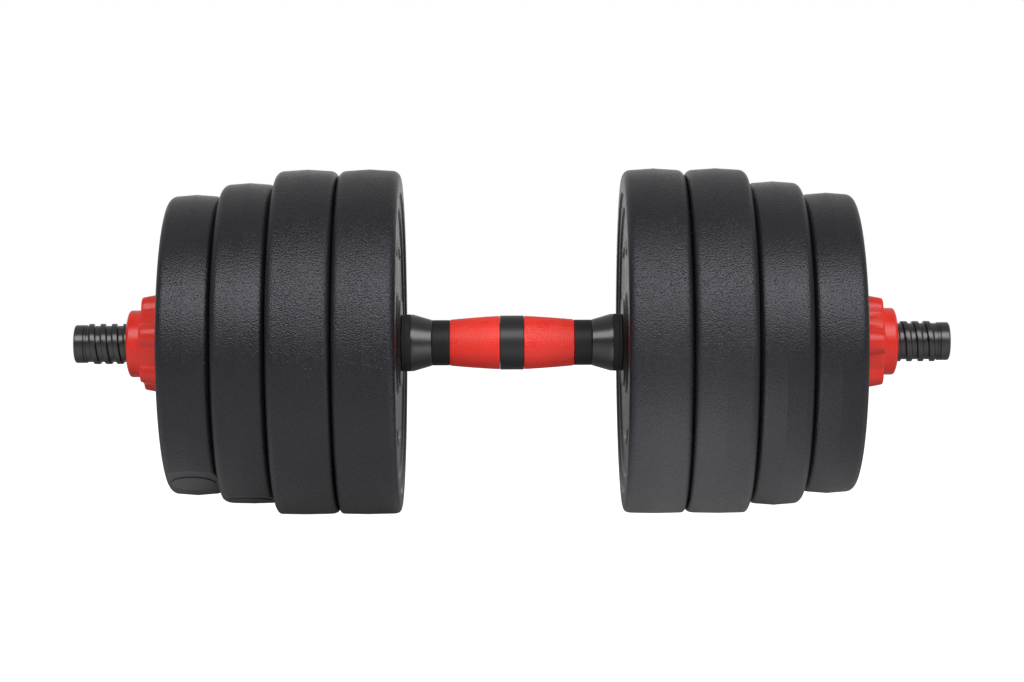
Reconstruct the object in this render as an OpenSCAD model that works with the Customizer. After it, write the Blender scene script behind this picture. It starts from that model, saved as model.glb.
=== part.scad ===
// Adjustable dumbbell: a plastic-jacketed steel bar with a screw thread at each end,
// four concrete-filled plastic plates a side, and a star nut that clamps each stack.
// The bar lies along X. The origin is on the floor under the middle of the grip.

/* [Bar] */
// Length of the bar from end to end
bar_length = 500; // [480:5:560]
// Outside diameter of the steel tube inside the bar
tube_d = 17; // [14:0.5:17.5]
// Wall of the steel tube
tube_wall = 2.5; // [1.5:0.5:3]
// Diameter of the plain nose at each end of the bar
nose_d = 21.8; // [21.4:0.1:21.9]
// Length of the plain nose at each end of the bar
nose_length = 7; // [6:0.1:7]

/* [Thread] */
// Distance from one turn of the thread to the next
thread_pitch = 6.5; // [6.2:0.1:6.7]
// Diameter across the crests of the thread
crest_d = 23.3; // [23:0.1:23.6]
// Diameter at the roots of the thread
root_d = 20.8; // [20.4:0.1:21]

/* [Grip] */
// Distance between the two inner faces of the plate stacks
grip_gap = 126.4; // [120:0.2:132]
// Diameter of the black band in the middle of the grip
band_d = 31; // [29:0.5:33]
// Width of the black band in the middle of the grip
band_width = 13.1; // [10:0.1:16]
// Distance from the middle of the bar to the outer end of each red sleeve
sleeve_end = 35.9; // [32:0.1:37]
// Diameter of the neck between sleeve and collar
neck_d = 26; // [25:0.5:27]
// Diameter of the stop collar and its rubber pad
collar_d = 32.7; // [32:0.1:34]

/* [Plates] */
// Diameter of the two large plates
large_d = 198.8; // [190:0.2:206]
// Space along the bar that a large plate takes
large_pitch = 35.4; // [34:0.1:38]
// Diameter of the medium plate
medium_d = 185.2; // [180:0.2:190]
// Space along the bar that the medium plate takes
medium_pitch = 30.5; // [30:0.1:32]
// Diameter of the small plate
small_d = 172; // [166:0.2:178]
// Space along the bar that the small plate takes
small_pitch = 30.3; // [29:0.1:32]
// Diameter of the hole through each plate
bore_d = 26; // [26:0.1:27]
// Thickness of the plastic shell
wall = 3; // [2.5:0.1:3.2]
// How far the medium and small plates hang below the bar's own axis
hang = 0.8; // [0:0.1:0.9]

/* [Star nut] */
// Number of lobes on the nut
lobes = 6; // [5:1:7]
// Diameter of the round boss on the nut's outer side
boss_d = 38.3; // [36:0.1:40]
// Length of the nut along the bar
nut_length = 23.8; // [22:0.2:25]

/* [Hidden] */
$fn = 96;
LEFT = -1;
RIGHT = 1;
INNER_LARGE = 0;
OUTER_LARGE = 1;
MEDIUM = 2;
SMALL = 3;

fit = 0.05;           // gap between pieces that are fixed to each other
face_gap = 0.2;       // gap between plates that stand side by side
mould_black = "#2b2c2f";
gloss_black = "#202124";
grip_red = "#e8332c";

// Plates, numbered outwards from the grip.
plate_d = [large_d, large_d, medium_d, small_d];
plate_pitch = [large_pitch, large_pitch, medium_pitch, small_pitch];
plate_drop = [0, 0, hang, hang];
// Angle of each filler pocket from straight down, positive towards the front.
left_filler_angle = [0, 0, 8, 23];
right_filler_angle = [0, 0, 205, 250];
crown = 1.2;          // the rim is this much higher at its parting line than at its corners
corner = 4.5;         // radius of the rim's corners
recess = 2.5;         // depth of the web below the rim and hub, on each face
hub_r = 27;
rim_width = 14;
step_run = 2;         // slope at each side of the web
foot_depth = 2.7;     // how deep the flat foot of a large plate cuts into its rim
bore_chamfer = 1.2;
rib_height = 1.2;
rib_width = 5;
rib_count = 4;
rib_span = 52;

// Filler hole at the bottom of a round pocket in the rim, and its plug.
pocket_r = 13.8;
pocket_depth = 3.6;   // from the parting line to the pocket's floor
filler_wall = 3;      // shell thickness under the pocket
filler_r = 8.5;
plug_head_r = 11.8;
plug_head = 0.6;

stack = plate_pitch[0] + plate_pitch[1] + plate_pitch[2] + plate_pitch[3];
stack_in = grip_gap / 2;
stack_out = stack_in + stack;
bar_z = large_d / 2 - foot_depth;

// Stop collar and rubber pad.
pad_thickness = 5;
pad_start = stack_in - face_gap - pad_thickness;
cone_start = 45.5;
shoulder = 2;         // rounded shoulder between the collar's cone and its edge

// Washer and nut.
washer_r = 20.5;
washer_bore_r = 12.6;
washer_thickness = 2.4;
washer_z = stack_out;
nut_z = washer_z + 1;
nut_seat = 1.8;       // depth of the washer's seat in the nut
flange = 15.2;
lobe_circle_r = 20.4;
lobe_tip_r = 6.9;
lobe_base_r = 9.6;
nut_body_r = 23.2;
left_nut_turn = 17;   // turn of the left nut's first lobe from straight up
right_nut_turn = 30;

// Thread profile, and how finely it is drawn.
ridge_top = 2.1;      // width along the bar at the crest
ridge_base = 3.9;     // width along the bar at the root
thread_steps = 20;
nut_steps = 24;
sleeve_z = pad_start;
sleeve_turns = 28;
sleeve_thread_z = bar_length / 2 - 7 - sleeve_turns * thread_pitch;
ramp = 0.4;           // turns over which a ridge rises to full height
nut_radial = 0.5;     // radial clearance of the nut's thread at the crest
nut_minor_r = 11.05;
nut_flank = 0.45;     // clearance of the nut's thread along the bar, on each side

// ---------- placing ----------

// Sets local Z along the bar, pointing out of the given side, with local zero at the bar's middle.
module on_side(side, drop = 0)
    translate([0, 0, bar_z - drop]) rotate([0, side * 90, 0]) children();

// Turns local +X to an angle from straight down, positive towards the front.
module facing(side, angle) rotate([0, 0, side > 0 ? -angle : 180 + angle]) children();

function plate_start(i) = i == 0 ? stack_in : plate_start(i - 1) + plate_pitch[i - 1];
function filler_angle(side, i) = side > 0 ? right_filler_angle[i] : left_filler_angle[i];
function half_thickness(i) = (plate_pitch[i] - face_gap) / 2;

// Sets local zero at the middle of a plate, with local +X towards its filler pocket.
module on_plate(side, i)
    on_side(side, plate_drop[i])
        translate([0, 0, plate_start(i) + half_thickness(i)])
            facing(side, filler_angle(side, i))
                children();

// ---------- shapes used more than once ----------

// Points of an arc in a lathe profile.
function arc(r, z, radius, from, to, steps) =
    [for (s = [0 : steps]) let (a = from + (to - from) * s / steps)
        [r + radius * cos(a), z + radius * sin(a)]];

// Upper half of a plate's lathe profile, from the bore outwards to the parting line.
function plate_half(in, out, half, hub, rim, depth, edge, chamfer) = concat(
    [[in, half - chamfer], [in + chamfer, half], [hub, half], [hub + step_run, half - depth]],
    [[rim - step_run, half - depth], [rim, half]],
    arc(out - crown - edge, half - edge, edge, 90, 0, 6),
    [[out, 0]]
);
function below(points) = [for (i = [len(points) - 2 : -1 : 0]) [points[i][0], -points[i][1]]];
function plate_profile(in, out, half, hub, rim, depth, edge, chamfer) =
    let (top = plate_half(in, out, half, hub, rim, depth, edge, chamfer))
        concat(top, below(top));

// A plate's outside with its filler pocket. The large plates have a flat foot across it.
module plate_solid(i) {
    r = plate_d[i] / 2;
    difference() {
        rotate_extrude()
            polygon(plate_profile(bore_d / 2, r, half_thickness(i), hub_r, r - rim_width,
                recess, corner, bore_chamfer));
        translate([r - pocket_depth, 0, 0]) rotate([0, 90, 0])
            cylinder(r = pocket_r, h = pocket_depth + 1);
        if (i < MEDIUM)
            translate([r - foot_depth, -r, -r]) cube([r, 2 * r, 2 * r]);
    }
}

// Sets local zero on the inside of the shell under the filler pocket, with local +Z outwards.
module on_filler(i)
    translate([plate_d[i] / 2 - pocket_depth - filler_wall, 0, 0]) rotate([0, 90, 0]) children();

// The space inside a plate's shell, or the filling in it when it is given a gap.
module plate_space(i, gap) {
    r = plate_d[i] / 2;
    skin = wall + gap;
    difference() {
        rotate_extrude()
            polygon(plate_profile(bore_d / 2 + skin, r - skin, half_thickness(i) - skin,
                hub_r - skin, r - rim_width + skin, recess, corner - 2, gap + fit));
        translate([r - pocket_depth - filler_wall - gap, -r, -r]) cube([r, 2 * r, 2 * r]);
    }
}

// Raised arcs on the web of one face, in place of any lettering.
module web_ribs(i) {
    web_z = half_thickness(i) - recess - fit;
    web_mid = (hub_r + plate_d[i] / 2 - rim_width) / 2;
    for (k = [0 : rib_count - 1])
        rotate([0, 0, k * 360 / rib_count + (360 / rib_count - rib_span) / 2])
            rotate_extrude(angle = rib_span)
                translate([web_mid - rib_width / 2, web_z]) square([rib_width, rib_height + fit]);
}

// A right-handed screw shape along Z: rods of the root radius with one raised ridge.
// The ridge passes local +X wherever z is a whole number of pitches.
module screw(z, turns, steps, root, crest, top, base) {
    last = turns * steps;
    marks = [-top / 2, top / 2, base / 2, thread_pitch - base / 2];
    function rise(j) = max(0, min(1, (j / steps - 1) / ramp, (turns - j / steps) / ramp));
    function radius(j, m) = m < 2 ? root + (crest - root) * rise(j) : root;
    function angle(j) = 360 * (j / steps + z / thread_pitch);
    function point(j, m) =
        let (r = radius(j, m))
            [r * cos(angle(j)), r * sin(angle(j)), z + j * thread_pitch / steps + marks[m]];
    function at(j, m) = m == 4 ? (j + steps) * 4 : j * 4 + m;
    points = concat(
        [for (j = [0 : last + steps]) for (m = [0 : 3]) point(j, m)],
        [[0, 0, z + thread_pitch / 2], [0, 0, z + (turns + 0.5) * thread_pitch]]
    );
    low = (last + steps + 1) * 4;
    high = low + 1;
    sides = [for (j = [0 : last - 1]) for (m = [0 : 3]) for (half = [0, 1])
        half == 0 ? [at(j, m), at(j, m + 1), at(j + 1, m)]
                  : [at(j + 1, m), at(j, m + 1), at(j + 1, m + 1)]];
    ends = concat(
        [for (j = [0 : steps - 1]) [low, at(j, 0), at(j + 1, 0)]],
        [for (m = [0 : 3]) [low, at(0, m + 1), at(0, m)]],
        [for (j = [0 : steps - 1]) [high, at(last + j + 1, 0), at(last + j, 0)]],
        [for (m = [0 : 3]) [high, at(last, m), at(last, m + 1)]]
    );
    polyhedron(points = points, faces = concat(sides, ends), convexity = 10);
}

// ---------- bar ----------

module bar_tube()
    color("silver")
        on_side(RIGHT)
            translate([0, 0, -bar_length / 2 + 3]) difference() {
                cylinder(d = tube_d, h = bar_length - 6);
                translate([0, 0, -1]) cylinder(d = tube_d - 2 * tube_wall, h = bar_length);
            }

module thread_sleeve(side)
    color(gloss_black)
        on_side(side) difference() {
            union() {
                screw(sleeve_thread_z, sleeve_turns, thread_steps, root_d / 2, crest_d / 2,
                    ridge_top, ridge_base);
                translate([0, 0, sleeve_z])
                    cylinder(d = nose_d, h = sleeve_thread_z + thread_pitch + 0.5 - sleeve_z);
                nose();
            }
            translate([0, 0, sleeve_z - 1])
                cylinder(d = tube_d + 2 * fit, h = bar_length / 2 - 3 + fit - sleeve_z + 1);
        }

// The rounded plain end of a threaded sleeve.
module nose() {
    edge = 1.2;
    tip = bar_length / 2;
    rotate_extrude()
        polygon(concat(
            [[0, tip - nose_length], [nose_d / 2, tip - nose_length]],
            arc(nose_d / 2 - edge, tip - edge, edge, 0, 90, 6),
            [[0, tip]]
        ));
}

module grip_core()
    color(gloss_black)
        on_side(RIGHT) difference() {
            union() {
                for (z = [-cone_start, sleeve_end])
                    translate([0, 0, z]) cylinder(d = neck_d, h = cone_start - sleeve_end);
                translate([0, 0, -band_width / 2]) cylinder(d = band_d, h = band_width);
                translate([0, 0, -cone_start + 1]) cylinder(d = 22.4, h = 2 * cone_start - 2);
            }
            translate([0, 0, -cone_start - 1])
                cylinder(d = tube_d + 2 * fit, h = 2 * cone_start + 2);
        }

module grip_sleeve(side) {
    seat_r = 11.2 + fit;
    groove = 0.3;      // shadow gap at each end of the sleeve
    inner = band_width / 2 + groove;
    outer = sleeve_end - groove;
    inner_r = band_d / 2 - 0.25;
    outer_r = neck_d / 2 + 0.1;
    bulge = 0.15;
    steps = 8;
    color(grip_red)
        on_side(side) rotate_extrude()
            polygon(concat(
                [[seat_r, outer], [seat_r, inner]],
                [for (s = [0 : steps])
                    [inner_r + (outer_r - inner_r) * s / steps + bulge * sin(180 * s / steps),
                     inner + (outer - inner) * s / steps]]
            ));
}

module stop_collar(side)
    color(gloss_black)
        on_side(side) rotate_extrude()
            polygon(concat(
                [[tube_d / 2 + fit, pad_start - fit], [tube_d / 2 + fit, cone_start + fit],
                 [neck_d / 2, cone_start + fit], [neck_d / 2 + 0.2, cone_start + 1]],
                arc(collar_d / 2 - shoulder, pad_start - 1, shoulder, -72, 0, 6),
                [[collar_d / 2, pad_start - fit]]
            ));

module collar_pad(side)
    color("#1b1b1c")
        on_side(side) difference() {
            translate([0, 0, pad_start]) cylinder(d = collar_d, h = pad_thickness);
            translate([0, 0, pad_start - 1])
                cylinder(d = nose_d + 2 * fit, h = pad_thickness + 2);
        }

// ---------- plates ----------

module plate_shell(side, i)
    color(mould_black)
        on_plate(side, i) {
            difference() {
                union() {
                    plate_solid(i);
                    web_ribs(i);
                    mirror([0, 0, 1]) web_ribs(i);
                }
                plate_space(i, 0);
                on_filler(i) translate([0, 0, -1]) cylinder(r = filler_r, h = filler_wall + 2);
            }
        }

module plate_filling(side, i)
    color("#8d8a84") on_plate(side, i) plate_space(i, fit);

module plate_plug(side, i)
    color(mould_black)
        on_plate(side, i) on_filler(i) {
            translate([0, 0, fit]) cylinder(r = filler_r - fit, h = filler_wall + plug_head - fit);
            translate([0, 0, filler_wall + fit]) cylinder(r = plug_head_r, h = plug_head - fit);
        }

// ---------- nuts ----------

module washer(side)
    color("#1b1b1c")
        on_side(side) translate([0, 0, washer_z]) difference() {
            cylinder(r = washer_r, h = washer_thickness);
            translate([0, 0, -1]) cylinder(r = washer_bore_r, h = washer_thickness + 2);
        }

module star_nut(side) {
    boss_edge = 1.5;
    dome_start = 14;   // radius where the boss's face begins to fall away
    dome_drop = 1.1;
    turn = side > 0 ? right_nut_turn : left_nut_turn;
    thread_z = nut_z - 8.5;
    color(grip_red)
        on_side(side) difference() {
            union() {
                translate([0, 0, nut_z]) rotate_extrude()
                    polygon(concat(
                        [[0, 0], [nut_body_r + 2, 0], [nut_body_r, flange], [boss_d / 2, flange]],
                        arc(boss_d / 2 - boss_edge, nut_length - dome_drop - boss_edge,
                            boss_edge, 0, 80, 5),
                        [[dome_start, nut_length], [0, nut_length]]
                    ));
                for (k = [0 : lobes - 1])
                    facing(side, 180 - turn + k * 360 / lobes)
                        translate([lobe_circle_r, 0, nut_z])
                            cylinder(r1 = lobe_base_r, r2 = lobe_tip_r, h = flange - 0.6);
            }
            translate([0, 0, nut_z - 1])
                cylinder(r = washer_r + 0.3, h = nut_seat + 1);
            screw(thread_z, 6, nut_steps, nut_minor_r, crest_d / 2 + nut_radial,
                ridge_top + 2 * nut_flank, ridge_base + 2 * nut_flank);
        }
}

// ---------- nodes ----------

bar_tube();
thread_sleeve(LEFT);  // left_thread_sleeve
thread_sleeve(RIGHT);  // right_thread_sleeve
grip_core();
grip_sleeve(LEFT);  // left_grip_sleeve
grip_sleeve(RIGHT);  // right_grip_sleeve
stop_collar(LEFT);  // left_stop_collar
stop_collar(RIGHT);  // right_stop_collar
collar_pad(LEFT);  // left_collar_pad
collar_pad(RIGHT);  // right_collar_pad
plate_shell(LEFT, INNER_LARGE);  // left_inner_large_shell
plate_filling(LEFT, INNER_LARGE);  // left_inner_large_filling
plate_plug(LEFT, INNER_LARGE);  // left_inner_large_plug
plate_shell(LEFT, OUTER_LARGE);  // left_outer_large_shell
plate_filling(LEFT, OUTER_LARGE);  // left_outer_large_filling
plate_plug(LEFT, OUTER_LARGE);  // left_outer_large_plug
plate_shell(LEFT, MEDIUM);  // left_medium_shell
plate_filling(LEFT, MEDIUM);  // left_medium_filling
plate_plug(LEFT, MEDIUM);  // left_medium_plug
plate_shell(LEFT, SMALL);  // left_small_shell
plate_filling(LEFT, SMALL);  // left_small_filling
plate_plug(LEFT, SMALL);  // left_small_plug
plate_shell(RIGHT, INNER_LARGE);  // right_inner_large_shell
plate_filling(RIGHT, INNER_LARGE);  // right_inner_large_filling
plate_plug(RIGHT, INNER_LARGE);  // right_inner_large_plug
plate_shell(RIGHT, OUTER_LARGE);  // right_outer_large_shell
plate_filling(RIGHT, OUTER_LARGE);  // right_outer_large_filling
plate_plug(RIGHT, OUTER_LARGE);  // right_outer_large_plug
plate_shell(RIGHT, MEDIUM);  // right_medium_shell
plate_filling(RIGHT, MEDIUM);  // right_medium_filling
plate_plug(RIGHT, MEDIUM);  // right_medium_plug
plate_shell(RIGHT, SMALL);  // right_small_shell
plate_filling(RIGHT, SMALL);  // right_small_filling
plate_plug(RIGHT, SMALL);  // right_small_plug
washer(LEFT);  // left_washer
star_nut(LEFT);  // left_star_nut
washer(RIGHT);  // right_washer
star_nut(RIGHT);  // right_star_nut
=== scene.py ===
"""The looks of an adjustable dumbbell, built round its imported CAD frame.

Everything is in metres, in the CAD frame: X along the bar, Z up, the floor at Z = 0.
Most pieces are turned shapes. They are made in a local frame whose axis runs outwards
along the bar, and whose angle is measured from straight down towards the front.
"""

import math

import bmesh
import bpy
import numpy as np
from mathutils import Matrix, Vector

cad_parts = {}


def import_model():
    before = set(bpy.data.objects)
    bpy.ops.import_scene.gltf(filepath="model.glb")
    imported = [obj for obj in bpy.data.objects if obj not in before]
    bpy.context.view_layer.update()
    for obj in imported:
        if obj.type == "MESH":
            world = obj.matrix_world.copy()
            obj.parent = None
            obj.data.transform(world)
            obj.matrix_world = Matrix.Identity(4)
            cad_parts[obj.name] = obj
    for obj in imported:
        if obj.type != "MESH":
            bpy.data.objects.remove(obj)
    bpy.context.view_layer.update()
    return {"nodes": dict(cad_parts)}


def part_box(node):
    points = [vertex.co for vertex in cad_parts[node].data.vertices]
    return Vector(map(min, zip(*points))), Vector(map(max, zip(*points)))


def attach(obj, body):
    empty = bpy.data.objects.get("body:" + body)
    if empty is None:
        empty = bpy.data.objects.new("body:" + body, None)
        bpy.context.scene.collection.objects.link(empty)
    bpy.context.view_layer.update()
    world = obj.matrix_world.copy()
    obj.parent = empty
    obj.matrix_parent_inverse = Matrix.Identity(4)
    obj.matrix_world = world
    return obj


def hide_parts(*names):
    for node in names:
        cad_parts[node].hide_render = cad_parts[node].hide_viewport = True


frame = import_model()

MM = 0.001
SIDES = {"left": -1, "right": 1}
PLATES = ("inner_large", "outer_large", "medium", "small")
LARGE = PLATES[:2]

# ---------------------------------------------------------------- sizes, from the frame

tube_low, tube_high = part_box("bar_tube")
BAR_Z = (tube_low.z + tube_high.z) / 2
TUBE_R = (tube_high.z - tube_low.z) / 2
BAR_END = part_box("right_thread_sleeve")[1].x
CREST_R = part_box("right_thread_sleeve")[1].y
PAD_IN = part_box("right_collar_pad")[0].x
PAD_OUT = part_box("right_collar_pad")[1].x
COLLAR_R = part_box("right_collar_pad")[1].y
NECK_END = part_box("grip_core")[1].x
BAND_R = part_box("grip_core")[1].y
SLEEVE_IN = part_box("right_grip_sleeve")[0].x
SLEEVE_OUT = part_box("right_grip_sleeve")[1].x
WASHER_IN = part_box("right_washer")[0].x
WASHER_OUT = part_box("right_washer")[1].x
WASHER_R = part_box("right_washer")[1].y
NUT_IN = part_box("right_star_nut")[0].x
NUT_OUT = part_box("right_star_nut")[1].x

THREAD_PITCH = 6.5 * MM
RIDGE_TOP, RIDGE_BASE = 0.21, 0.3  # half widths of the thread's ridge, in pitches
RIDGE_FADE = 0.4  # turns over which the ridge fades at its ends
ROOT_R = 10.4 * MM
NOSE_R = 10.9 * MM
NOSE_LENGTH = 7 * MM
NOSE_GROOVE = BAR_END - 5.6 * MM
LOBE_CIRCLE_R = 20.4 * MM  # from the axis to the middle of each lobe of a nut
NUT_TURN = {"left": 17, "right": 30}  # how far each nut is turned in the photo, in degrees
NUT_BORE_R = 11.05 * MM
NUT_GROOVE = 1.1 * MM  # depth of the thread in a nut
NECK_R = 13 * MM
BORE_R = 13 * MM
DIAMOND_HEIGHT = 0.2 * MM
POCKET_R = 13.8 * MM
POCKET_DEPTH = 3.6 * MM
FOOT_DEPTH = 2.7 * MM
PLUG_R = 12.5 * MM

# Where each plate's filler plug faces, in degrees from straight down towards the front.
FILLER_ANGLE = {
    ("left", "inner_large"): 0,
    ("left", "outer_large"): 0,
    ("left", "medium"): 8,
    ("left", "small"): 19,
    ("right", "inner_large"): 0,
    ("right", "outer_large"): 0,
    ("right", "medium"): 205,
    ("right", "small"): 250,
}

# ---------------------------------------------------------------- outlines


def smooth(x):
    """Smooth step from 0 to 1 as x goes from 0 to 1."""
    x = np.clip(x, 0, 1)
    return x * x * (3 - 2 * x)


def rounded(corners, degrees=15):
    """A closed outline from (r, z, fillet radius) corners, with an arc at each corner."""
    points = []
    count = len(corners)
    for i in range(count):
        here = np.array(corners[i][:2], float)
        radius = corners[i][2]
        before = np.array(corners[i - 1][:2], float) - here
        after = np.array(corners[(i + 1) % count][:2], float) - here
        len_before, len_after = np.linalg.norm(before), np.linalg.norm(after)
        before, after = before / len_before, after / len_after
        inner = math.acos(max(-1.0, min(1.0, float(before @ after))))
        if radius <= 0 or inner > math.pi - 1e-3:
            points.append(here)
            continue
        reach = radius / math.tan(inner / 2)
        longest = 0.48 * min(len_before, len_after)
        if reach > longest:
            radius, reach = radius * longest / reach, longest
        middle = (before + after) / np.linalg.norm(before + after)
        centre = here + middle * radius / math.sin(inner / 2)
        start, end = here + before * reach - centre, here + after * reach - centre
        turn = math.pi - inner
        steps = max(2, math.ceil(math.degrees(turn) / degrees))
        for k in range(steps + 1):
            t = k / steps
            a = math.sin((1 - t) * turn) / math.sin(turn)
            b = math.sin(t * turn) / math.sin(turn)
            points.append(centre + start * a + end * b)
    return np.array(points)


def spaced(outline, longest):
    """The closed outline with its long stretches split, and a point near each end of them."""
    points = []
    for i, here in enumerate(outline):
        step = outline[(i + 1) % len(outline)] - here
        length = np.linalg.norm(step)
        points.append(here)
        if length < 1.2 * MM:
            continue
        edge = min(0.35 * MM / length, 0.25)
        inner = max(1, math.ceil((length - 0.7 * MM) / longest))
        for t in np.linspace(edge, 1 - edge, inner + 1):
            points.append(here + step * t)
    return np.array(points)


def turns(columns):
    """Evenly spaced angles round the axis, in degrees."""
    return np.arange(columns) * 360.0 / columns


# ---------------------------------------------------------------- meshes


def to_world(side, axis_z, radius, degrees, along):
    """Points from the local frame of one side: radius, angle and distance along the bar."""
    a = np.radians(degrees)
    return np.stack(
        np.broadcast_arrays(
            SIDES[side] * along, -radius * np.sin(a), axis_z - radius * np.cos(a)
        ),
        axis=-1,
    )


def quads(rows, columns, close_rows=True, close_columns=True):
    """Faces of a grid of points with that many rows and columns."""
    i = np.arange(rows if close_rows else rows - 1)
    j = np.arange(columns if close_columns else columns - 1)
    i, j = (g.ravel() for g in np.meshgrid(i, j, indexing="ij"))
    up, right = (i + 1) % rows, (j + 1) % columns
    return np.stack(
        [i * columns + j, i * columns + right, up * columns + right, up * columns + j], 1
    )


def make_piece(name, points, faces, replaced, body, material, sharp=38):
    """A mesh piece that stands for a CAD node and rides on its body."""
    mesh = bpy.data.meshes.new(name)
    mesh.from_pydata(points.reshape(-1, 3).tolist(), [], [list(map(int, f)) for f in faces])
    mesh.validate()
    piece = bpy.data.objects.new(name, mesh)
    bpy.context.scene.collection.objects.link(piece)
    face_outwards(mesh)
    mesh.shade_smooth()
    mesh.set_sharp_from_angle(angle=math.radians(sharp))
    mesh.materials.append(material)
    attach(piece, body)
    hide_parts(replaced)
    return piece


def face_outwards(mesh):
    """Merges doubled points and turns all faces outwards."""
    work = bmesh.new()
    work.from_mesh(mesh)
    bmesh.ops.remove_doubles(work, verts=work.verts, dist=1e-7)
    bmesh.ops.dissolve_degenerate(work, edges=work.edges, dist=1e-8)
    bmesh.ops.recalc_face_normals(work, faces=work.faces)
    work.to_mesh(mesh)
    work.free()


def turned(name, outline, side, replaced, body, material):
    """A plain turned piece: its closed outline of (r, z) points swept round the bar."""
    columns = 144
    angle = turns(columns)
    points = to_world(side, BAR_Z, outline[:, :1], angle[None, :], outline[:, 1:])
    faces = quads(len(outline), columns)
    return make_piece(name, points, faces, replaced, body, material)


# ---------------------------------------------------------------- materials


def new_material(name):
    """An empty node material: its tree, its shader and a node that gives object coordinates."""
    material = bpy.data.materials.new(name)
    material.use_nodes = True
    tree = material.node_tree
    shader = tree.nodes["Principled BSDF"]
    place = tree.nodes.new("ShaderNodeTexCoord")
    return material, tree, shader, place.outputs["Object"]


def add(tree, kind, inputs=None, **settings):
    """Adds a node, sets its properties, and sets or links its inputs."""
    node = tree.nodes.new("ShaderNode" + kind)
    for key, value in settings.items():
        setattr(node, key, value)
    for key, value in (inputs or {}).items():
        if isinstance(value, bpy.types.NodeSocket):
            tree.links.new(value, node.inputs[key])
        else:
            node.inputs[key].default_value = value
    return node


def noise(tree, place, size, detail=2.0, rough=0.5):
    """Noise whose blobs are about size metres across."""
    node = add(
        tree,
        "TexNoise",
        {"Vector": place, "Scale": 0.6 / size, "Detail": detail, "Roughness": rough},
    )
    return node.outputs["Fac"]


def pebbles(tree, place, size):
    """Rounded grains about size metres across, as a moulded leather grain has."""
    node = add(
        tree,
        "TexVoronoi",
        {"Vector": place, "Scale": 1 / size, "Smoothness": 0.25, "Randomness": 1.0},
        feature="SMOOTH_F1",
    )
    return node.outputs["Distance"]


def scaled(tree, value, low, high, from_low=0.0, from_high=1.0):
    """A value moved from one range to another."""
    node = add(
        tree,
        "MapRange",
        {
            "Value": value,
            "From Min": from_low,
            "From Max": from_high,
            "To Min": low,
            "To Max": high,
        },
    )
    return node.outputs["Result"]


def blended(tree, factor, first, second):
    """A colour that goes from first to second with the factor."""
    node = add(tree, "Mix", {"Factor": factor}, data_type="RGBA")
    node.inputs[6].default_value = (*first, 1)
    node.inputs[7].default_value = (*second, 1)
    return node.outputs[2]


def bump(tree, height, depth, strength=1.0, below=None):
    """A bump of that depth in metres, on top of another if one is given."""
    inputs = {"Height": height, "Distance": depth, "Strength": strength}
    if below is not None:
        inputs["Normal"] = below
    return add(tree, "Bump", inputs).outputs["Normal"]


def moulded_plastic(name, dark, light, grain_depth):
    """Black moulded plastic with a pebbled grain, its creases duller than its high spots."""
    material, tree, shader, place = new_material(name)
    grain = pebbles(tree, place, 0.8 * MM)
    fine = noise(tree, place, 0.9 * MM, 2)
    patch = noise(tree, place, 22 * MM, 4, 0.6)
    hollow = add(tree, "Math", {0: grain, 1: grain}, operation="MULTIPLY").outputs["Value"]
    height = add(
        tree, "Math", {0: hollow, 1: -1.6, 2: fine}, operation="MULTIPLY_ADD"
    ).outputs["Value"]
    shade = scaled(tree, patch, 0, 1, 0.3, 0.7)
    tree.links.new(blended(tree, shade, dark, light), shader.inputs["Base Color"])
    uneven = scaled(tree, patch, 0.25, 0.36, 0.3, 0.7)
    tree.links.new(uneven, shader.inputs["Roughness"])
    first = bump(tree, height, grain_depth)
    tree.links.new(bump(tree, patch, 0.3 * MM, 0.35, first), shader.inputs["Normal"])
    shader.inputs["Specular Tint"].default_value = (0.9, 0.89, 1.0, 1)
    tree.links.new(scaled(tree, grain, 0.65, 0.46, 0.1, 0.6), shader.inputs["Specular IOR Level"])
    return material


def smooth_plastic(name, dark, light, rough, gloss):
    """Smooth injection-moulded plastic: a light satin gloss with faint flow marks."""
    material, tree, shader, place = new_material(name)
    fine = noise(tree, place, 0.35 * MM, 2)
    patch = noise(tree, place, 9 * MM, 4, 0.6)
    shade = scaled(tree, patch, 0, 1, 0.3, 0.7)
    tree.links.new(blended(tree, shade, dark, light), shader.inputs["Base Color"])
    uneven = scaled(tree, patch, rough - 0.04, rough + 0.05, 0.3, 0.7)
    tree.links.new(uneven, shader.inputs["Roughness"])
    first = bump(tree, fine, 0.02 * MM)
    tree.links.new(bump(tree, patch, 0.15 * MM, 0.3, first), shader.inputs["Normal"])
    shader.inputs["Specular IOR Level"].default_value = gloss
    return material


def core_plastic():
    """The grip core's plastic: a satin band, and necks with a finer, duller texture."""
    material, tree, shader, place = new_material("grip_core_plastic")
    fine = noise(tree, place, 0.35 * MM, 2)
    x = add(tree, "SeparateXYZ", {"Vector": place}).outputs["X"]
    from_middle = add(tree, "Math", {0: x}, operation="ABSOLUTE").outputs["Value"]
    neck = scaled(tree, from_middle, 0, 1, SLEEVE_IN + 5 * MM, SLEEVE_OUT - 5 * MM)
    tree.links.new(
        blended(tree, fine, (0.008, 0.008, 0.0085), (0.013, 0.013, 0.0135)),
        shader.inputs["Base Color"],
    )
    tree.links.new(scaled(tree, neck, 0.36, 0.5), shader.inputs["Roughness"])
    tree.links.new(scaled(tree, neck, 0.5, 0.3), shader.inputs["Specular IOR Level"])
    tree.links.new(bump(tree, fine, 0.03 * MM), shader.inputs["Normal"])
    return material


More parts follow.
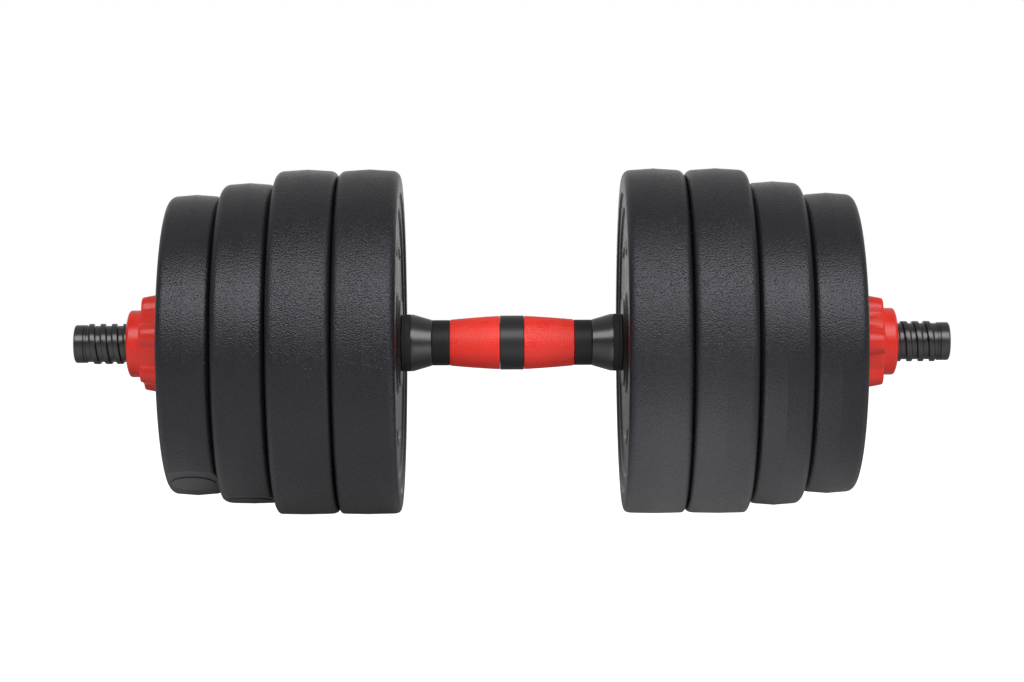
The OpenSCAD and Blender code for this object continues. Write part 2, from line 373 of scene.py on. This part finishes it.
def matte_rubber(name):
    """Black rubber with a dry, slightly chalky skin."""
    material, tree, shader, place = new_material(name)
    fine = noise(tree, place, 0.3 * MM, 4, 0.7)
    patch = noise(tree, place, 6 * MM, 3)
    shade = scaled(tree, patch, 0, 1, 0.3, 0.7)
    tree.links.new(
        blended(tree, shade, (0.012, 0.012, 0.0125), (0.02, 0.02, 0.021)),
        shader.inputs["Base Color"],
    )
    tree.links.new(scaled(tree, fine, 0.62, 0.85), shader.inputs["Roughness"])
    tree.links.new(bump(tree, fine, 0.05 * MM, 0.8), shader.inputs["Normal"])
    shader.inputs["Specular IOR Level"].default_value = 0.4
    return material


def concrete():
    """The cement and sand mix that fills the plates."""
    material, tree, shader, place = new_material("concrete")
    sand = noise(tree, place, 0.8 * MM, 5, 0.7)
    patch = noise(tree, place, 25 * MM, 4)
    mixed = add(
        tree, "Math", {0: sand, 1: 0.5, 2: scaled(tree, patch, 0, 0.5)}, operation="MULTIPLY_ADD"
    ).outputs["Value"]
    tree.links.new(
        blended(tree, mixed, (0.22, 0.21, 0.2), (0.5, 0.48, 0.44)), shader.inputs["Base Color"]
    )
    tree.links.new(bump(tree, sand, 0.4 * MM), shader.inputs["Normal"])
    shader.inputs["Roughness"].default_value = 0.9
    return material


def drawn_steel():
    """Plain steel tube with fine drawing marks along it."""
    material, tree, shader, place = new_material("drawn_steel")
    stretched = add(
        tree, "Mapping", {"Vector": place, "Scale": (0.03, 1, 1)}
    ).outputs["Vector"]
    lines = noise(tree, stretched, 0.4 * MM, 3)
    tree.links.new(
        blended(tree, lines, (0.42, 0.42, 0.43), (0.6, 0.6, 0.62)), shader.inputs["Base Color"]
    )
    tree.links.new(scaled(tree, lines, 0.28, 0.45), shader.inputs["Roughness"])
    tree.links.new(bump(tree, lines, 0.02 * MM), shader.inputs["Normal"])
    shader.inputs["Metallic"].default_value = 1.0
    return material


PLATE_BLACKS = (0.006, 0.006, 0.007), (0.009, 0.009, 0.0105)
large_plastic = moulded_plastic("large_plate_plastic", *PLATE_BLACKS, 0.15 * MM)
small_plastic = moulded_plastic("small_plate_plastic", *PLATE_BLACKS, 0.115 * MM)
plug_plastic = moulded_plastic(
    "plug_plastic", (0.015, 0.015, 0.0165), (0.022, 0.022, 0.024), 0.05 * MM
)
bar_plastic = smooth_plastic(
    "bar_plastic", (0.007, 0.007, 0.0075), (0.012, 0.012, 0.0125), 0.22, 0.85
)
neck_plastic = core_plastic()
grip_plastic = smooth_plastic(
    "grip_red", (0.84, 0.019, 0.008), (0.93, 0.03, 0.014), 0.29, 0.5
)
nut_plastic = smooth_plastic(
    "nut_red", (0.73, 0.017, 0.007), (0.85, 0.029, 0.014), 0.3, 0.5
)
pad_rubber = matte_rubber("pad_rubber")

# ---------------------------------------------------------------- bar


def thread_ridge(u):
    """Height of the thread, 0 to 1, at u pitches from the middle of its ridge."""
    return 1 - smooth((np.abs(u) - RIDGE_TOP) / (RIDGE_BASE - RIDGE_TOP))


def thread_sleeve(side):
    """The threaded plastic jacket on one half of the bar, with its plain nose.

    The screw is one strip wound along the bar, closed with a cap at each end; both ends are
    inside the plain parts of the jacket.
    """
    steps = 60
    count = 28
    flank = np.linspace(RIDGE_TOP, RIDGE_BASE, 6)
    profile = np.concatenate([[-0.42], -flank[::-1], [-0.1, 0.1], flank, [0.42]])
    start = BAR_END - NOSE_LENGTH - count * THREAD_PITCH
    j = np.arange((count + 1) * steps + 1)
    rise = smooth(np.minimum(j / steps - 1, count - j / steps) / RIDGE_FADE)
    radius = ROOT_R + (CREST_R - ROOT_R) * rise[:, None] * thread_ridge(profile)[None, :]
    along = start + (j[:, None] / steps + profile[None, :]) * THREAD_PITCH
    # The outer end of the strip is squeezed, so that it stays inside the nose.
    inside_nose, squeeze = BAR_END - NOSE_LENGTH + 1 * MM, 0.35
    along = np.where(along > inside_nose, inside_nose + (along - inside_nose) * squeeze, along)
    lead = start / THREAD_PITCH + j[:, None] / steps
    angle = -360 * lead if side == "right" else 360 * lead - 180
    points = to_world(side, BAR_Z, radius, np.broadcast_to(angle, radius.shape), along)
    rows, width = radius.shape
    faces = [*quads(rows, width, False, False)]
    low = np.arange(rows - 1 - steps)
    strip = np.stack(
        [low * width + width - 1, (low + 1) * width + width - 1,
         (low + 1 + steps) * width, (low + steps) * width], 1
    )
    faces += list(strip)
    flat = points.reshape(-1, 3).tolist()
    turn = np.arange(steps + 1) * width
    last = (rows - 1) * width
    last_turn = last - steps * width + width - 1
    for z, ring, cut, closing in (
        (start, turn, 0, (width - 1, steps * width)),
        (inside_nose, last_turn + turn, last, (last, last_turn)),
    ):
        centre = len(flat)
        flat.append(to_world(side, BAR_Z, 0.0, 0.0, z).tolist())
        across = cut + np.arange(width)
        edges = [*zip(ring, ring[1:]), *zip(across, across[1:]), closing]
        faces += [[a, b, centre] for a, b in edges]
    screw = np.array(flat)
    body = rounded([
        (0, PAD_IN, 0),
        (NOSE_R, PAD_IN, 0.3 * MM),
        (NOSE_R, start + 1.2 * THREAD_PITCH, 0),
        (ROOT_R - 0.3 * MM, start + 1.2 * THREAD_PITCH, 0),
        (ROOT_R - 0.3 * MM, BAR_END - NOSE_LENGTH, 0),
        (NOSE_R, BAR_END - NOSE_LENGTH, 0.25 * MM),
        (NOSE_R, NOSE_GROOVE - 0.35 * MM, 0.1 * MM),
        (NOSE_R - 0.4 * MM, NOSE_GROOVE, 0.1 * MM),
        (NOSE_R, NOSE_GROOVE + 0.35 * MM, 0.1 * MM),
        (NOSE_R, BAR_END, 1.2 * MM),
        (6.2 * MM, BAR_END, 0.6 * MM),
        (5.6 * MM, BAR_END - 0.8 * MM, 0.6 * MM),
        (0, BAR_END - 0.8 * MM, 0),
    ])
    columns = 96
    core = to_world(side, BAR_Z, body[:, :1], turns(columns)[None, :], body[:, 1:])
    core_faces = quads(len(body), columns) + len(screw)
    points = np.concatenate([screw, core.reshape(-1, 3)])
    return make_piece(f"{side}_thread_sleeve_moulding", points, [*map(list, faces), *core_faces],
                      f"{side}_thread_sleeve", "bar", bar_plastic, sharp=50)


def grip_core():
    """The black core of the grip: two necks and the band in the middle."""
    half = SLEEVE_IN - 0.1 * MM
    neck = SLEEVE_OUT + 0.1 * MM
    seat = 11.2 * MM
    bore = TUBE_R + 0.05 * MM
    one_side = [
        (bore, NECK_END, 0),
        (NECK_R, NECK_END, 0.2 * MM),
        (NECK_R, neck, 0.25 * MM),
        (seat, neck, 0),
        (seat, half, 0),
        (BAND_R, half, 0.2 * MM),
    ]
    other_side = [(r, -z, f) for r, z, f in reversed(one_side)]
    outline = spaced(rounded(one_side + other_side), 3 * MM)
    return turned("grip_core_moulding", outline, "right", "grip_core", "bar",
                  neck_plastic)


def grip_sleeve(side):
    """A red sleeve of the grip, embossed all over with small raised diamonds."""
    seat = 11.25 * MM
    length = SLEEVE_OUT - SLEEVE_IN
    rows, columns, around = 120, 432, 60
    t = np.linspace(0, 1, rows)
    edge = 0.35 * MM
    from_end = np.minimum(t, 1 - t) * length
    base = (BAND_R - 0.25 * MM) * (1 - t) + (NECK_R + 0.1 * MM) * t + 0.15 * MM * np.sin(np.pi * t)
    drop = edge - np.sqrt(np.maximum(0, edge**2 - np.maximum(0, edge - from_end) ** 2))
    angle = turns(columns)
    mean_r = 14.3 * MM
    cell = 2 * math.pi * mean_r / around / 0.85
    u = angle[None, :] / 360 * around
    v = (t * length / cell)[:, None]
    diamond = np.cos(2 * np.pi * u) * np.cos(2 * np.pi * v)
    plain_end = smooth((from_end - 0.4 * MM) / (0.6 * MM))[:, None]
    raised = smooth((diamond + 0.15) / 0.9) * plain_end
    radius = (base - drop)[:, None] + DIAMOND_HEIGHT * raised - 0.05 * MM
    along = (SLEEVE_IN + t * length)[:, None]
    outer = to_world(side, BAR_Z, radius, angle[None, :], along)
    inner_along = np.array([SLEEVE_OUT, SLEEVE_IN])[:, None]
    inner = to_world(side, BAR_Z, seat, angle[None, :], inner_along)
    points = np.concatenate([outer, inner])
    return make_piece(f"{side}_grip_sleeve_embossed", points, quads(rows + 2, columns),
                      f"{side}_grip_sleeve", "bar", grip_plastic)


def stop_collar(side):
    """The bell-shaped collar that stops the plates."""
    bore = TUBE_R + 0.05 * MM
    outline = rounded([
        (bore, PAD_IN, 0),
        (bore, NECK_END + 0.05 * MM, 0),
        (NECK_R - 0.1 * MM, NECK_END + 0.05 * MM, 0.15 * MM),
        (NECK_R + 0.25 * MM, NECK_END + 0.5 * MM, 1.2 * MM),
        (COLLAR_R - 0.05 * MM, PAD_IN - 1.6 * MM, 5 * MM),
        (COLLAR_R - 0.05 * MM, PAD_IN, 0.25 * MM),
    ], 6)
    return turned(f"{side}_stop_collar_moulding", spaced(outline, 3 * MM), side,
                  f"{side}_stop_collar", "bar", bar_plastic)


def collar_pad(side):
    """The rubber pad on the face of the stop collar, with a fine groove round it."""
    bore = NOSE_R + 0.05 * MM
    groove = PAD_IN + 3.4 * MM
    outline = rounded([
        (bore, PAD_IN + 0.02 * MM, 0),
        (COLLAR_R, PAD_IN + 0.02 * MM, 0.3 * MM),
        (COLLAR_R, groove - 0.3 * MM, 0.1 * MM),
        (COLLAR_R - 0.35 * MM, groove, 0.1 * MM),
        (COLLAR_R, groove + 0.3 * MM, 0.1 * MM),
        (COLLAR_R, PAD_OUT, 0.8 * MM),
        (bore, PAD_OUT, 0.3 * MM),
    ], 10)
    return turned(f"{side}_collar_pad_rubber", spaced(outline, 3 * MM), side,
                  f"{side}_collar_pad", "bar", pad_rubber)


# ---------------------------------------------------------------- plates


def plate_outline(radius, half):
    """A plate's closed outline: bore, hub, stepped web and crowned rim, on both faces."""
    crown = 1.2 * MM
    web = half - 2.4 * MM
    ledge = half - 1.2 * MM
    face = [
        (BORE_R, half, 1.2 * MM),
        (24.5 * MM, half, 0.7 * MM),
        (25.6 * MM, ledge, 0.5 * MM),
        (28.2 * MM, ledge, 0.5 * MM),
        (29.6 * MM, web, 0.8 * MM),
        (radius - 23.5 * MM, web, 0.8 * MM),
        (radius - 22.2 * MM, ledge, 0.6 * MM),
        (radius - 14.6 * MM, ledge, 0.5 * MM),
        (radius - 13.4 * MM, half, 0.8 * MM),
        (radius - crown, half, 4.6 * MM),
        (radius - 0.08 * MM, 0.45 * MM, 0),
        (radius, 0.12 * MM, 0),
    ]
    back = [(r, -z, f) for r, z, f in reversed(face)]
    return rounded(face + back, 11)


def plate_angles(filler, fine_half):
    """Angles round a plate, close together where its filler pocket is."""
    fine = np.arange(-fine_half, fine_half + 1e-6, 0.36)
    coarse = np.linspace(fine_half, 360 - fine_half, 200)[1:-1]
    return filler + np.concatenate([fine, coarse])


def web_rib(radius, half, r, z, degrees):
    """How far a point on the web is raised by the four plain arcs on each face."""
    height, half_width, flank = 1.1 * MM, 2.9 * MM, 0.9 * MM
    half_angle = 26
    middle = (27 * MM + radius - 14 * MM) / 2
    across = smooth((half_width - np.abs(r - middle)) / flank)
    from_middle = np.abs((degrees - 45) % 90 - 45)
    along = smooth(np.radians(half_angle - from_middle) * middle / flank + 0.5)
    on_face = np.abs(z) > half - 3 * MM
    return np.sign(z) * height * across * along * on_face


def plate_shell(side, plate):
    """The black plastic shell of one plate, with the flat across its rim and its pocket."""
    node = f"{side}_{plate}_shell"
    low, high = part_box(node)
    radius = (high.y - low.y) / 2
    axis_z = high.z - radius
    half = (high.x - low.x) / 2
    middle = abs(low.x + high.x) / 2
    filler = FILLER_ANGLE[side, plate]
    outline = spaced(plate_outline(radius, half), 1.6 * MM)
    r, z = outline[:, :1], outline[:, 1:]
    fine_half = 15.5 if plate in LARGE else 18  # reaches past both ends of the flat
    degrees = plate_angles(filler, fine_half)[None, :]
    z = z + web_rib(radius, half, r, z, degrees)
    turn = np.radians(degrees - filler)
    across, out = r * np.sin(turn), r * np.cos(turn)
    near = out > radius - 12 * MM  # the rim only
    inside = smooth((POCKET_R - np.hypot(across, z)) / (0.6 * MM) + 0.5)
    floor = radius - POCKET_DEPTH
    out = np.where(near, np.minimum(out, out * (1 - inside) + floor * inside), out)
    flat = radius - (FOOT_DEPTH if plate in LARGE else POCKET_DEPTH)
    out = np.where(near, np.minimum(out, flat), out)
    at = np.hypot(across, out)
    angle = filler + np.degrees(np.arctan2(across, out))
    points = to_world(side, axis_z, at, angle, middle + z)
    plastic = large_plastic if plate in LARGE else small_plastic
    make_piece(f"{node}_moulding", points, quads(*points.shape[:2]), node,
               f"{side}_{plate}_plate", plastic, sharp=14)
    plate_plug(side, plate, radius, axis_z, middle)


def plate_plug(side, plate, radius, axis_z, middle):
    """The round plug that closes a plate's filler hole, slightly domed."""
    node = f"{side}_{plate}_plug"
    stem, bottom = 8.4 * MM, -2.9 * MM
    outline = rounded([
        (0, bottom, 0),
        (stem, bottom, 0.3 * MM),
        (stem, 0.02 * MM, 0),
        (PLUG_R, 0.02 * MM, 0),
        (PLUG_R, 0.4 * MM, 0.3 * MM),
        (9.7 * MM, 0.65 * MM, 2 * MM),
        (5.5 * MM, 0.83 * MM, 3 * MM),
        (0, 0.88 * MM, 0),
    ])
    columns = 72
    a = np.radians(turns(columns))[None, :]
    r, h = outline[:, :1], outline[:, 1:]
    tilt = math.radians(FILLER_ANGLE[side, plate])
    down = np.array([0, -math.sin(tilt), -math.cos(tilt)])
    tangent = np.array([0, math.cos(tilt), -math.sin(tilt)])
    along = np.array([1.0, 0, 0])
    centre = np.array([SIDES[side] * middle, 0, axis_z]) + down * (radius - POCKET_DEPTH)
    points = (centre + (r * np.cos(a))[..., None] * along + (r * np.sin(a))[..., None] * tangent
              + (h + 0 * a)[..., None] * down)
    make_piece(f"{node}_domed", points, quads(*points.shape[:2]), node,
               f"{side}_{plate}_plate", plug_plastic)


# ---------------------------------------------------------------- nuts


def washer(side):
    """The rubber washer between the nut and the outermost plate."""
    bore = 12.6 * MM
    outline = rounded([
        (bore, WASHER_IN, 0.4 * MM),
        (WASHER_R, WASHER_IN, 0.5 * MM),
        (WASHER_R, WASHER_OUT, 0.5 * MM),
        (bore, WASHER_OUT, 0.4 * MM),
    ])
    return turned(f"{side}_washer_rubber", spaced(outline, 3 * MM), side, f"{side}_washer",
                  f"{side}_washer_ring", pad_rubber)


def lobed(degrees, first, lobe, core):
    """Radius of a six-lobed outline at each angle, with soft hollows between the lobes."""
    pitch = 60
    off = np.radians((degrees - first + pitch / 2) % pitch - pitch / 2)
    inside = np.maximum(lobe**2 - (LOBE_CIRCLE_R * np.sin(off)) ** 2, 0)
    on_lobe = LOBE_CIRCLE_R * np.cos(off) + np.sqrt(inside)
    on_lobe = np.where(inside > 0, on_lobe, 0)
    blend = 2.5 * MM
    on_lobe = np.maximum(on_lobe, core - blend)
    apart = np.clip(0.5 + 0.5 * (on_lobe - core) / blend, 0, 1)
    return core * (1 - apart) + on_lobe * apart + 0.5 * blend * apart * (1 - apart)


def star_nut(side):
    """The red star nut: a lobed flange, a domed boss and a thread inside."""
    first = 180 - NUT_TURN[side]
    boss = 19.15 * MM
    flange = NUT_IN + 15.1 * MM
    seat_r = WASHER_R + 0.3 * MM
    seat = NUT_IN + 1.8 * MM
    columns = 288
    angle = turns(columns)
    base = lobed(angle, first, lobe=9.6 * MM, core=25.2 * MM)
    top = lobed(angle, first, lobe=6.9 * MM, core=23.2 * MM)
    ones = np.ones(columns)

    def flange_side(t):
        return base * (1 - t) + top * t

    edge = 0.9 * MM
    rows = [(ones * (seat_r + 0.02 * MM), NUT_IN), (base - 0.6 * MM, NUT_IN)]
    for k in range(4):
        a = math.radians(90 * k / 3)
        rows.append((base - 0.5 * MM * (1 - math.sin(a)), NUT_IN + 0.5 * MM * (1 - math.cos(a))))
    for t in (0.06, 0.2, 0.4, 0.6, 0.8, 0.9):
        rows.append((flange_side(t), NUT_IN + t * (flange - NUT_IN)))
    for k in range(1, 7):
        a = math.radians(90 * k / 6)
        rows.append((top - edge * (1 - math.cos(a)), flange - edge * (1 - math.sin(a))))
    for t in (0.06, 0.25, 0.5, 0.75, 0.92):
        rows.append(((top - edge) * (1 - t) + (boss + 0.5 * MM) * t, flange))
    for k in range(4):
        a = math.radians(90 * k / 3)
        rows.append((ones * (boss + 0.5 * MM * (1 - math.sin(a))),
                     flange + 0.5 * MM * (1 - math.cos(a))))
    boss_top = NUT_OUT - 2.6 * MM
    boss_edge = 1.8 * MM
    rows.append((ones * boss, flange + 1.2 * MM))
    for k in range(7):
        a = math.radians(68 * k / 6)
        rows.append((ones * (boss - boss_edge * (1 - math.cos(a))),
                     boss_top + boss_edge * math.sin(a)))
    shoulder_r, shoulder_z = rows[-1][0][0], rows[-1][1]
    mouth = 12.6 * MM
    for t in (0.2, 0.4, 0.6, 0.8, 1.0):
        r = shoulder_r * (1 - t) + mouth * t
        rise = min(1, (shoulder_r - r) / (shoulder_r - 14 * MM))
        height = (NUT_OUT - shoulder_z) * math.sin(math.pi / 2 * rise)
        rows.append((ones * r, shoulder_z + height))
    thread_rows = 64
    groove_half, groove_flank = 0.22, 0.16  # in pitches
    for z in np.linspace(NUT_OUT - 0.35 * MM, seat, thread_rows):
        if side == "right":
            lead = z / THREAD_PITCH + angle / 360
        else:
            lead = z / THREAD_PITCH - (180 + angle) / 360
        u = (lead + 0.5) % 1 - 0.5
        cut = 1 - smooth((np.abs(u) - groove_half) / groove_flank)
        rows.append((NUT_BORE_R + NUT_GROOVE * cut, z))
    rows += [(ones * 15 * MM, seat), (ones * (seat_r - 0.2 * MM), seat),
             (ones * seat_r, seat - 0.2 * MM)]
    radius = np.array([r for r, _ in rows])
    along = np.array([z for _, z in rows])[:, None]
    points = to_world(side, BAR_Z, radius, angle[None, :], along)
    return make_piece(f"{side}_star_nut_moulding", points, quads(len(rows), columns),
                      f"{side}_star_nut", f"{side}_nut", nut_plastic, sharp=35)


# ---------------------------------------------------------------- the object

grip_core()
for side in SIDES:
    thread_sleeve(side)
    grip_sleeve(side)
    stop_collar(side)
    collar_pad(side)
    for plate in PLATES:
        plate_shell(side, plate)
    washer(side)
    star_nut(side)

concrete_mix = concrete()
steel = drawn_steel()
for name, node in frame["nodes"].items():
    if name.endswith("_filling") or name == "bar_tube":
        node.data.materials.clear()
        node.data.materials.append(steel if name == "bar_tube" else concrete_mix)

# ---------------------------------------------------------------- studio


def floor():
    """A wide floor, plain white to the camera.

    To the object it glows in front of the bar, more so under the right stack, as the studio
    floor in the photo does. The glow ends under the bar, and further back under the ends.
    """
    radius, columns = 14.0, 96
    a = np.radians(turns(columns))
    rim = np.stack([radius * np.cos(a), radius * np.sin(a), 0 * a], 1)
    mesh = bpy.data.meshes.new("floor")
    mesh.from_pydata(rim.tolist(), [], [list(range(columns))])
    obj = bpy.data.objects.new("floor", mesh)
    bpy.context.scene.collection.objects.link(obj)
    material, tree, shader, place = new_material("pale_floor")
    patch = noise(tree, place, 400 * MM, 3)
    tree.links.new(
        blended(tree, patch, (0.29, 0.29, 0.29), (0.31, 0.31, 0.31)), shader.inputs["Base Color"]
    )
    shader.inputs["Roughness"].default_value = 0.9
    shader.inputs["Specular IOR Level"].default_value = 0.1
    split = add(tree, "SeparateXYZ", {"Vector": place}).outputs

    def worked_out(operation, *values):
        return add(tree, "Math", dict(enumerate(values)), operation=operation).outputs["Value"]

    x, y = split["X"], split["Y"]
    from_stack = worked_out("ABSOLUTE", worked_out("SUBTRACT", x, 0.095))
    right_patch = scaled(tree, from_stack, 1.05, 0, 0.01, 0.1)
    across = worked_out("ADD", right_patch, scaled(tree, x, 0.53, 0.47, 0, 0.1))
    front = scaled(tree, y, 0.25, 1, -0.45, -0.15)
    apart = scaled(tree, worked_out("ABSOLUTE", x), 0, 0.2, 0.11, 0.18)
    depth = worked_out("SUBTRACT", y, worked_out("MULTIPLY", apart, apart))
    back = scaled(tree, depth, 1, 0.12, -0.095, -0.01)
    glow = worked_out("MULTIPLY", across, worked_out("MULTIPLY", front, back))
    seen = add(tree, "LightPath").outputs["Is Camera Ray"]
    total = worked_out("ADD", seen, glow)
    tree.links.new(total, shader.inputs["Emission Strength"])
    shader.inputs["Emission Color"].default_value = (1, 1, 1, 1)
    mesh.materials.append(material)


def area_light(name, power, size, place, target):
    """A soft rectangular light at a place, facing a target, that the camera doesn't see."""
    data = bpy.data.lights.new(name, "AREA")
    data.shape = "RECTANGLE"
    data.size, data.size_y = size
    data.energy = power
    obj = bpy.data.objects.new(name, data)
    bpy.context.scene.collection.objects.link(obj)
    obj.location = place
    obj.rotation_euler = (Vector(target) - Vector(place)).to_track_quat("-Z", "Y").to_euler()
    obj.visible_camera = False


def world():
    """White studio air: dim in front, brightest behind the bar, plain white to the camera."""
    scene_world = bpy.data.worlds.new("studio")
    bpy.context.scene.world = scene_world
    scene_world.use_nodes = True
    tree = scene_world.node_tree
    tree.nodes.clear()
    place = add(tree, "TexCoord").outputs["Generated"]
    y = add(tree, "SeparateXYZ", {"Vector": place}).outputs["Y"]
    behind = scaled(tree, y, 0, 0.47, 0.88, 1)
    strength = add(tree, "Math", {0: scaled(tree, y, 0.28, 0.48, -0.75, 0.8), 1: behind})
    surround = add(
        tree, "Background", {"Color": (1, 1, 1, 1), "Strength": strength.outputs["Value"]}
    )
    seen = add(tree, "Background", {"Color": (1, 1, 1, 1), "Strength": 1.0})
    camera_ray = add(tree, "LightPath").outputs["Is Camera Ray"]
    mixed = add(
        tree,
        "MixShader",
        {0: camera_ray, 1: surround.outputs[0], 2: seen.outputs[0]},
    )
    output = add(tree, "OutputWorld")
    tree.links.new(mixed.outputs[0], output.inputs["Surface"])


def camera():
    """A long lens level with the bar, straight in front of the grip."""
    distance = 1.595
    data = bpy.data.cameras.new("camera")
    data.sensor_width = 36
    data.lens = 97.84
    data.shift_x = 0.0052
    data.clip_end = 60
    obj = bpy.data.objects.new("camera", data)
    bpy.context.scene.collection.objects.link(obj)
    obj.location = (-3 * MM, -distance, BAR_Z + 0.9 * MM)
    obj.rotation_euler = (math.radians(90), math.radians(0.2), 0)
    bpy.context.scene.camera = obj


floor()
world()
camera()
middle = (0, 0, BAR_Z)
area_light("key", 50.5, (3.6, 1.2), (0, -1.85, 1.465), middle)
area_light("right_fill", 15.5, (1.8, 2.2), (1.25, -1.85, 1.465), (1.25, 0, BAR_Z))
bpy.context.scene.view_settings.view_transform = "Standard"
